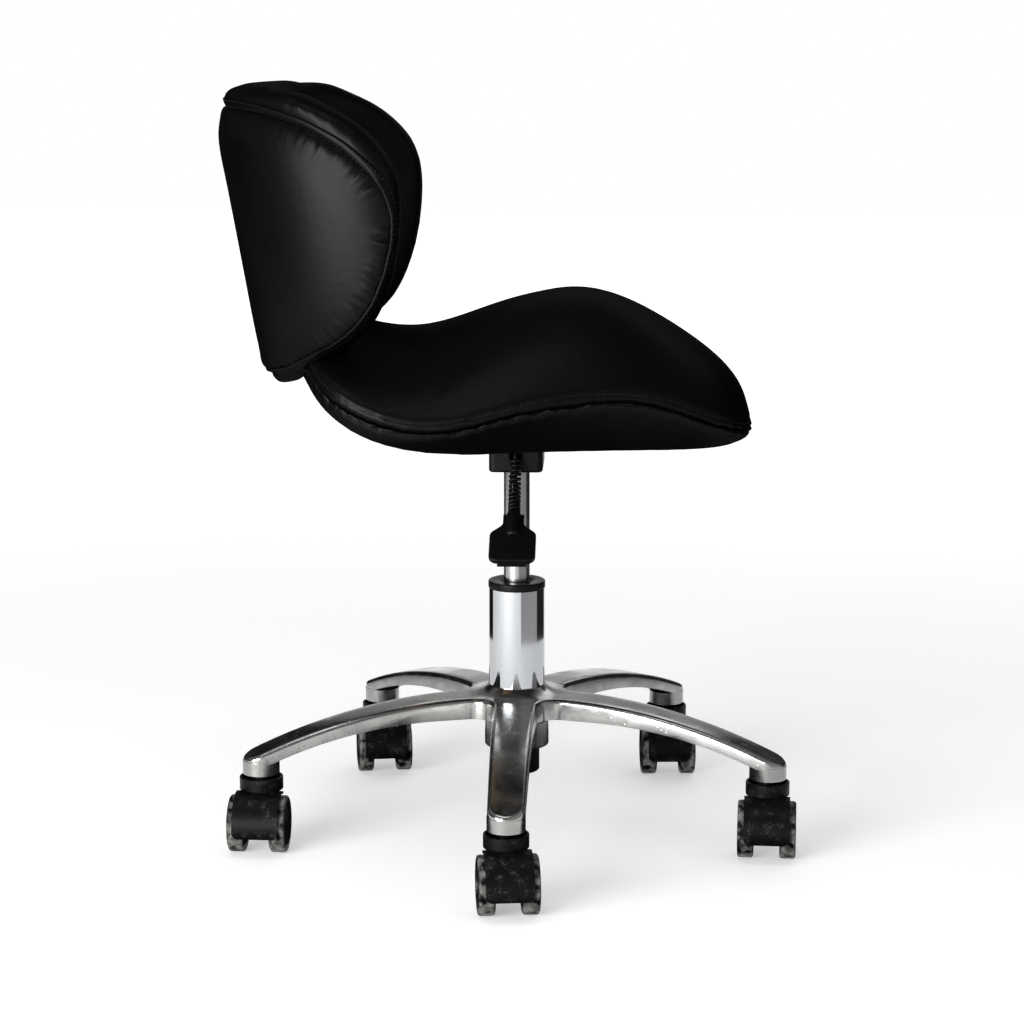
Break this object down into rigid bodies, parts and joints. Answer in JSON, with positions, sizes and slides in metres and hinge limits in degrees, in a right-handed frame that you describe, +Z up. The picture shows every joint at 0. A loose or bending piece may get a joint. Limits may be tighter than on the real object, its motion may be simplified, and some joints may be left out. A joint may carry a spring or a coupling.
{
  "type": "saddle stool with wrap-round back",
  "caption": "Work stool with a padded saddle seat and a wrap-round back, height adjustable on a gas lift, turning on a star base with twin-wheel casters.",
  "frame": {"origin": "on the floor, under the column axis", "axes": "+X to the front of the sitter, +Y to their left, +Z up"},
  "size_m": [0.6098, 0.588, 0.7995],
  "materials": {
    "polished_aluminium": "die-cast aluminium, polished, lightly pitted",
    "bright_chrome": "bright chromed steel tube",
    "satin_chrome": "ground and chromed steel, satin",
    "black_steel": "pressed steel with black powder coat",
    "zinc_steel": "zinc plated or bare steel",
    "black_acetal": "black moulded plastic, fine grain",
    "bumper_rubber": "black rubber",
    "black_vinyl": "smooth black vinyl over foam, double stitched",
    "dust_cloth": "black non-woven cloth",
    "plywood": "moulded plywood",
    "caster_nylon": "black moulded nylon",
    "wheel_nylon": "black nylon, scuffed tread",
    "caster_steel": "plain steel"
  },
  "bodies": {
    "base": {"base_casting": "polished_aluminium", "pressure_tube": "black_steel", "cover_sleeve": "bright_chrome", "sleeve_collar": "black_acetal", "guide_bush": "black_acetal", "bearing_race_lower": "zinc_steel"},
    "swivel": {"swivel_rod": "satin_chrome", "bearing_race_upper": "zinc_steel", "bearing_balls": "zinc_steel", "bump_stop": "bumper_rubber", "rod_clip": "zinc_steel", "piston": "satin_chrome"},
    "seat": {"lift_cylinder": "satin_chrome", "seat_mechanism": "black_steel", "lever_pivot_pin": "zinc_steel", "seat_bolts": "zinc_steel", "tee_nuts": "zinc_steel", "seat_pan": "plywood", "seat_dust_cover": "dust_cloth", "seat_lower_body": "black_vinyl", "seat_cushion": "black_vinyl", "back_pad": "black_vinyl", "back_panel": "black_vinyl", "back_shell": "plywood", "back_strap": "black_steel", "back_bolts": "zinc_steel"},
    "lever": {"lever_rod": "black_steel", "lever_spring": "black_steel", "lever_paddle": "black_acetal"},
    "valve_pin": {"release_pin": "satin_chrome"},
    "caster_1": {"caster_1_body": "caster_nylon", "caster_1_stem": "caster_steel", "caster_1_axle": "caster_steel"},
    "caster_1_left": {"caster_1_wheel_left": "wheel_nylon"},
    "caster_1_right": {"caster_1_wheel_right": "wheel_nylon"},
    "caster_2": {"caster_2_body": "caster_nylon", "caster_2_stem": "caster_steel", "caster_2_axle": "caster_steel"},
    "caster_2_left": {"caster_2_wheel_left": "wheel_nylon"},
    "caster_2_right": {"caster_2_wheel_right": "wheel_nylon"},
    "caster_3": {"caster_3_body": "caster_nylon", "caster_3_stem": "caster_steel", "caster_3_axle": "caster_steel"},
    "caster_3_left": {"caster_3_wheel_left": "wheel_nylon"},
    "caster_3_right": {"caster_3_wheel_right": "wheel_nylon"},
    "caster_4": {"caster_4_body": "caster_nylon", "caster_4_stem": "caster_steel", "caster_4_axle": "caster_steel"},
    "caster_4_left": {"caster_4_wheel_left": "wheel_nylon"},
    "caster_4_right": {"caster_4_wheel_right": "wheel_nylon"},
    "caster_5": {"caster_5_body": "caster_nylon", "caster_5_stem": "caster_steel", "caster_5_axle": "caster_steel"},
    "caster_5_left": {"caster_5_wheel_left": "wheel_nylon"},
    "caster_5_right": {"caster_5_wheel_right": "wheel_nylon"}
  },
  "joints": [
    {"name": "seat_swivel", "type": "hinge", "parent": "base", "child": "swivel", "pos_m": [0, 0, 0.07], "axis": [0, 0, 1], "continuous": true},
    {"name": "seat_height", "type": "slide", "parent": "swivel", "child": "seat", "axis": [0, 0, 1], "range_m": [-0.1, 0]},
    {"name": "lever_lift", "type": "hinge", "parent": "seat", "child": "lever", "pos_m": [0, -0.024, 0.418], "axis": [-1, 0, 0], "range_deg": [0, 8], "stiffness_Nm_per_rad": 3},
    {"name": "release_press", "type": "slide", "parent": "seat", "child": "valve_pin", "axis": [0, 0, -1], "range_m": [0, 0.0035]},
    {"name": "caster_1_swivel", "type": "hinge", "parent": "base", "child": "caster_1", "pos_m": [0, -0.281, 0.09], "axis": [0, 0, 1], "continuous": true},
    {"name": "caster_1_left_spin", "type": "hinge", "parent": "caster_1", "child": "caster_1_left", "pos_m": [0.00244, -0.30085, 0.03], "axis": [0.9925, 0.1219, 0], "continuous": true},
    {"name": "caster_1_right_spin", "type": "hinge", "parent": "caster_1", "child": "caster_1_right", "pos_m": [0.00244, -0.30085, 0.03], "axis": [0.9925, 0.1219, 0], "continuous": true},
    {"name": "caster_2_swivel", "type": "hinge", "parent": "base", "child": "caster_2", "pos_m": [0.26725, -0.08683, 0.09], "axis": [0, 0, 1], "continuous": true},
    {"name": "caster_2_left_spin", "type": "hinge", "parent": "caster_2", "child": "caster_2_left", "pos_m": [0.26603, -0.1068, 0.03], "axis": [0.9981, -0.061, 0], "continuous": true},
    {"name": "caster_2_right_spin", "type": "hinge", "parent": "caster_2", "child": "caster_2_right", "pos_m": [0.26603, -0.1068, 0.03], "axis": [0.9981, -0.061, 0], "continuous": true},
    {"name": "caster_3_swivel", "type": "hinge", "parent": "base", "child": "caster_3", "pos_m": [0.16517, 0.22733, 0.09], "axis": [0, 0, 1], "continuous": true},
    {"name": "caster_3_left_spin", "type": "hinge", "parent": "caster_3", "child": "caster_3_left", "pos_m": [0.16656, 0.20738, 0.03], "axis": [0.9976, 0.0698, 0], "continuous": true},
    {"name": "caster_3_right_spin", "type": "hinge", "parent": "caster_3", "child": "caster_3_right", "pos_m": [0.16656, 0.20738, 0.03], "axis": [0.9976, 0.0698, 0], "continuous": true},
    {"name": "caster_4_swivel", "type": "hinge", "parent": "base", "child": "caster_4", "pos_m": [-0.16517, 0.22733, 0.09], "axis": [0, 0, 1], "continuous": true},
    {"name": "caster_4_left_spin", "type": "hinge", "parent": "caster_4", "child": "caster_4_left", "pos_m": [-0.16187, 0.20761, 0.03], "axis": [0.9863, 0.165, 0], "continuous": true},
    {"name": "caster_4_right_spin", "type": "hinge", "parent": "caster_4", "child": "caster_4_right", "pos_m": [-0.16187, 0.20761, 0.03], "axis": [0.9863, 0.165, 0], "continuous": true},
    {"name": "caster_5_swivel", "type": "hinge", "parent": "base", "child": "caster_5", "pos_m": [-0.26725, -0.08683, 0.09], "axis": [0, 0, 1], "continuous": true},
    {"name": "caster_5_left_spin", "type": "hinge", "parent": "caster_5", "child": "caster_5_left", "pos_m": [-0.26794, -0.10682, 0.03], "axis": [0.9994, -0.0349, 0], "continuous": true},
    {"name": "caster_5_right_spin", "type": "hinge", "parent": "caster_5", "child": "caster_5_right", "pos_m": [-0.26794, -0.10682, 0.03], "axis": [0.9994, -0.0349, 0], "continuous": true}
  ],
  "couplings": [
    {"joint": "release_press", "follows": "lever_lift", "m_per_rad": 0.0245}
  ]
}
